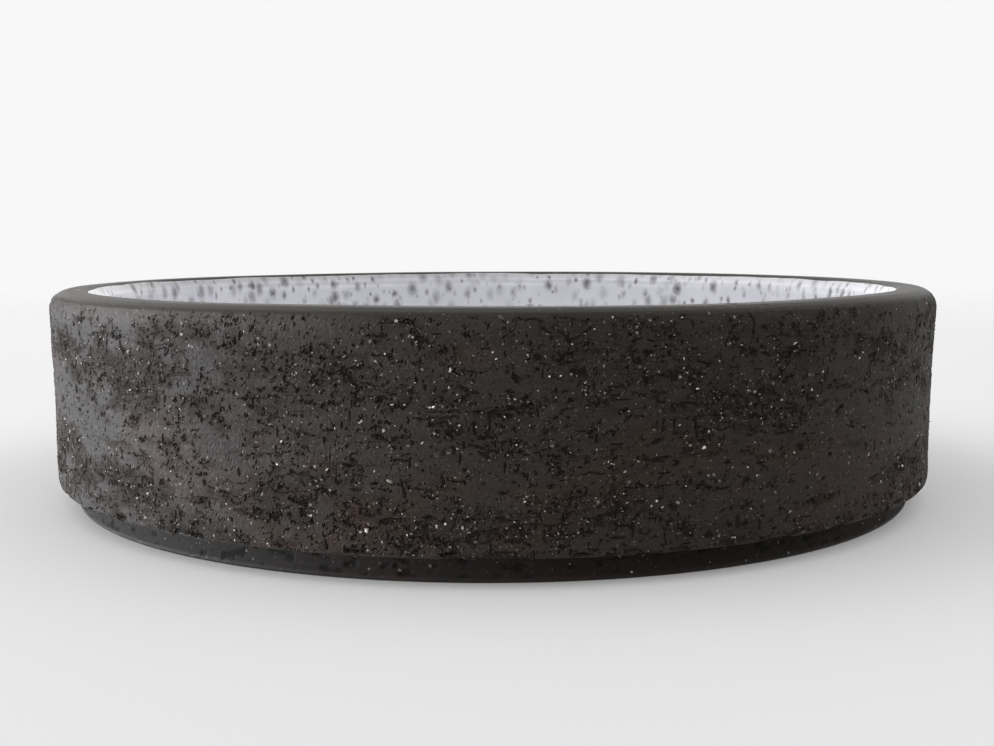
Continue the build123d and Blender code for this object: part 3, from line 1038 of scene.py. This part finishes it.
def set_pins(kenzan):
    """Brass pins with ground points."""
    low, tip = PINS_LOW.z, PINS_HIGH.z
    shoulder, body, point = tip - kenzan.pin_point, kenzan.pin_radius, kenzan.pin_tip_radius
    rows = np.array((
        (body, low),
        (body, shoulder - 0.25 * MM),
        (0.985 * body, shoulder - 0.08 * MM),
        (0.94 * body, shoulder + 0.1 * MM),
        (0.55 * body, shoulder + 0.5 * kenzan.pin_point),
        (1.3 * point, tip - 0.12 * MM),
        (0.8 * point, tip - 0.03 * MM),
    ))
    sides = 18
    rings = spin(np.repeat(rows[:, :1], sides, axis=1), np.repeat(rows[:, 1:], sides, axis=1))
    pin, counts = capped(low, rings, sides, tip)
    places = pin_places(kenzan)
    points = pin[None] + np.pad(places, ((0, 0), (0, 1)))[:, None]
    step = len(pin) * np.arange(len(places))[:, None, None]
    faces = [(part[None] + step).reshape(-1, part.shape[1]) for part in ring_faces(counts)]
    wet = 1.0 - ramp(points[:, :, 2], WEIGHT_HIGH.z + 1.0 * MM, shoulder)
    return make_piece("brass_pins", points.reshape(-1, 3), faces, brass_material(kenzan), wet=wet)


def fit_ring(kenzan):
    """Rubber ring that grips the weight's lower edge and reaches under it."""
    low, high, outer, lip = RING_LOW.z, RING_HIGH.z, RING_HIGH.x, WEIGHT_LOW.z
    hold = outer - kenzan.ring_wall
    inner = hold - kenzan.ring_lip_width
    points, _, _, owner = turned_outline((
        (inner, low, 0.5 * MM, 0.5 * MM),
        (outer, low, kenzan.ring_round, 0.3 * MM),
        (outer, high, kenzan.ring_round, 0.3 * MM),
        (hold, high, 0.5 * kenzan.ring_round, 0.5 * MM),
        (hold, lip, 0.1 * MM, 0.5 * MM),
        (inner, lip, 0.5 * MM, 0.5 * MM),
    ), closed=True)
    columns = 288
    rng = np.random.default_rng(5)
    outside = (owner == 1)[:, None]
    seam = 0.12 * MM * np.exp(-((points[:, 1:] - 0.5 * (low + high)) / (0.22 * MM)) ** 2)
    uneven = 0.04 * MM * noise(rng, (len(points), columns), 3.0, 14.0)
    radius = points[:, :1] + outside * (seam + uneven - 0.15 * MM)
    solid = spin(radius, np.repeat(points[:, 1:], columns, axis=1))
    faces = ring_faces([columns] * len(points), closed=True)
    return make_piece("rubber_ring", solid, faces, rubber_material(kenzan))


# Stage


def lay_floor(stage):
    """Round floor that fades into the backdrop."""
    material, tree, shader = new_material("pale_floor")
    where = put(tree, "ShaderNodeTexCoord").outputs["Object"]
    away = put(tree, "ShaderNodeVectorMath", {0: where}, operation="LENGTH").outputs["Value"]
    fade_from, fade_to = 0.22 * stage.floor_radius, 0.97 * stage.floor_radius
    feed(tree, shader, {
        "Base Color": stage.floor, "Roughness": 0.85, "Specular IOR Level": 0.2,
        "Emission Color": stage.floor, "Emission Strength": stage.floor_glow,
        "Alpha": faded(tree, away, fade_from, fade_to, 1.0, 0.0),
    })
    columns = 96
    radius = np.repeat(np.linspace(0.0, stage.floor_radius, 24)[1:, None], columns, axis=1)
    points = np.concatenate((((0.0, 0.0, 0.0),), spin(radius, np.zeros(radius.shape))))
    faces = [part[:, ::-1] for part in ring_faces([1] + [columns] * len(radius))]
    floor = make_piece("floor", points, faces, material)


def low_light(name, where, watts, tint):
    """Long low light that rakes across the wall."""
    data = bpy.data.lights.new(name, "AREA")
    data.shape, data.size, data.size_y = "RECTANGLE", 1.2, 0.09
    data.energy, data.color = watts, tint[:3]
    light = bpy.data.objects.new(name, data)
    light.location = where
    mid_wall = Vector((0.0, 0.0, 30.0 * MM))
    light.rotation_euler = (Vector(where) - mid_wall).to_track_quat("Z", "Y").to_euler()
    light.visible_camera = False
    bpy.context.scene.collection.objects.link(light)


def light_room(stage):
    """Soft light from above and around, low light from the sides; the camera sees a plain backdrop."""
    world = bpy.data.worlds.new("studio")
    bpy.context.scene.world = world
    world.use_nodes = True
    tree = world.node_tree
    tree.nodes.clear()
    toward = put(tree, "ShaderNodeTexCoord").outputs["Generated"]
    level = vector(tree, "NORMALIZE", vector(tree, "MULTIPLY", toward, (1.0, 1.0, 0.0)))
    side = put(tree, "ShaderNodeSeparateXYZ", {0: level}).outputs
    up = put(tree, "ShaderNodeSeparateXYZ", {0: toward}).outputs["Z"]

    def facing(axis, sign, value):
        share = calc(tree, "MAXIMUM", times(tree, side[axis], sign), 0.0)
        return times(tree, times(tree, share, share), value)

    # A direction's height runs from 0 at the horizon to 1 overhead
    halfway, top = faded(tree, up, 0.30, 0.50), faded(tree, up, 0.75, 0.92)
    sides = calc(tree, "ADD", facing("X", -1.0, stage.left), facing("X", 1.0, stage.right))
    sides = calc(tree, "ADD", sides, facing("Y", -1.0, stage.front))
    sides = times(tree, sides, calc(tree, "SUBTRACT", halfway, top))
    behind = times(tree, facing("Y", 1.0, stage.behind), calc(tree, "SUBTRACT", 1.0, halfway))
    around = calc(tree, "ADD", calc(tree, "ADD", behind, sides), times(tree, top, stage.overhead))
    light = put(tree, "ShaderNodeBackground", {"Strength": around}).outputs[0]
    seen = put(tree, "ShaderNodeBackground", {"Color": stage.backdrop, "Strength": 1.0}).outputs[0]
    straight = put(tree, "ShaderNodeLightPath").outputs["Is Camera Ray"]
    both = put(tree, "ShaderNodeMixShader", {0: straight, 1: light, 2: seen}).outputs[0]
    put(tree, "ShaderNodeOutputWorld", {"Surface": both})
    low_light("window", stage.window_place, stage.window_power, stage.window_tint)
    low_light("fill", stage.fill_place, stage.fill_power, stage.fill_tint)


def aim_camera(stage):
    """Camera at the photograph's place."""
    data = bpy.data.cameras.new("camera")
    data.sensor_fit = "HORIZONTAL"
    data.sensor_width = 36.0
    data.lens = stage.lens
    data.shift_x = stage.shift
    data.clip_start, data.clip_end = 0.01, 50.0
    camera = bpy.data.objects.new("camera", data)
    camera.matrix_world = (
        Matrix.Translation((0.0, -stage.camera_distance, stage.camera_height))
        @ Matrix.Rotation(math.pi / 2.0 - stage.camera_pitch, 4, "X")
        @ Matrix.Rotation(stage.camera_roll, 4, "Z")
    )
    bpy.context.scene.collection.objects.link(camera)
    bpy.context.scene.camera = camera


# Operators, one for each piece and one for the stage


class SUIBAN_OT_throw_body(bpy.types.Operator):
    """Turn the stoneware dish with its torn wall"""

    bl_idname = "suiban.throw_body"
    bl_label = "Throw stoneware body"

    def execute(self, context):
        piece = throw_body(context.scene.suiban_dish, context.scene.suiban_clay)
        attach(piece, "dish")
        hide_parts("stoneware_body")
        return {"FINISHED"}


class SUIBAN_OT_press_grog(bpy.types.Operator):
    """Set pale grains into the clay"""

    bl_idname = "suiban.press_grog"
    bl_label = "Press in grog"

    def execute(self, context):
        piece = press_grog(context.scene.suiban_dish, context.scene.suiban_clay)
        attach(piece, "dish")
        return {"FINISHED"}


class SUIBAN_OT_pour_glaze(bpy.types.Operator):
    """Line the dish with speckled glaze"""

    bl_idname = "suiban.pour_glaze"
    bl_label = "Pour glaze"

    def execute(self, context):
        piece = pour_glaze(context.scene.suiban_dish, context.scene.suiban_glaze)
        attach(piece, "dish")
        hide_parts("glaze_lining")
        return {"FINISHED"}


class SUIBAN_OT_cast_weight(bpy.types.Operator):
    """Cast the pin holder's weight"""

    bl_idname = "suiban.cast_weight"
    bl_label = "Cast weight"

    def execute(self, context):
        piece = cast_weight(context.scene.suiban_kenzan)
        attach(piece, "kenzan")
        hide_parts("kenzan_base")
        return {"FINISHED"}


class SUIBAN_OT_set_pins(bpy.types.Operator):
    """Set the brass pins in the weight"""

    bl_idname = "suiban.set_pins"
    bl_label = "Set pins"

    def execute(self, context):
        piece = set_pins(context.scene.suiban_kenzan)
        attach(piece, "kenzan")
        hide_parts("kenzan_pins")
        return {"FINISHED"}


class SUIBAN_OT_fit_ring(bpy.types.Operator):
    """Fit the rubber ring round the weight"""

    bl_idname = "suiban.fit_ring"
    bl_label = "Fit rubber ring"

    def execute(self, context):
        piece = fit_ring(context.scene.suiban_kenzan)
        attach(piece, "kenzan")
        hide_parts("kenzan_rubber_ring")
        return {"FINISHED"}


class SUIBAN_OT_set_stage(bpy.types.Operator):
    """Lay the floor, light it and aim the camera"""

    bl_idname = "suiban.set_stage"
    bl_label = "Set stage"

    def execute(self, context):
        stage = context.scene.suiban_stage
        lay_floor(stage)
        light_room(stage)
        aim_camera(stage)
        context.scene.view_settings.view_transform = "Standard"
        return {"FINISHED"}


class SUIBAN_PT_panel(bpy.types.Panel):
    """Lists the steps and their sizes"""

    bl_idname = "SUIBAN_PT_panel"
    bl_label = "Ikebana suiban"
    bl_space_type = "VIEW_3D"
    bl_region_type = "UI"
    bl_category = "Suiban"

    def draw(self, context):
        for operator in OPERATORS:
            self.layout.operator(operator.bl_idname)
        for name, group in GROUPS.items():
            box = self.layout.box()
            box.label(text=group.__doc__)
            settings = getattr(context.scene, name)
            for key in group.__annotations__:
                box.prop(settings, key)


GROUPS = {
    "suiban_dish": SuibanDish,
    "suiban_clay": SuibanClay,
    "suiban_glaze": SuibanGlaze,
    "suiban_kenzan": SuibanKenzan,
    "suiban_stage": SuibanStage,
}
OPERATORS = (
    SUIBAN_OT_throw_body,
    SUIBAN_OT_press_grog,
    SUIBAN_OT_pour_glaze,
    SUIBAN_OT_cast_weight,
    SUIBAN_OT_set_pins,
    SUIBAN_OT_fit_ring,
    SUIBAN_OT_set_stage,
)


def register():
    """Adds the settings, the steps and the panel to Blender."""
    for item in (*GROUPS.values(), *OPERATORS, SUIBAN_PT_panel):
        bpy.utils.register_class(item)
    for name, group in GROUPS.items():
        setattr(bpy.types.Scene, name, PointerProperty(type=group))


def unregister():
    """Takes them out again, last first."""
    for name in GROUPS:
        delattr(bpy.types.Scene, name)
    for item in reversed((*GROUPS.values(), *OPERATORS, SUIBAN_PT_panel)):
        bpy.utils.unregister_class(item)


def main():
    """Makes every piece and the stage."""
    register()
    bpy.ops.suiban.throw_body()
    bpy.ops.suiban.press_grog()
    bpy.ops.suiban.pour_glaze()
    bpy.ops.suiban.cast_weight()
    bpy.ops.suiban.set_pins()
    bpy.ops.suiban.fit_ring()
    bpy.ops.suiban.set_stage()


if __name__ == "__main__":
    main()
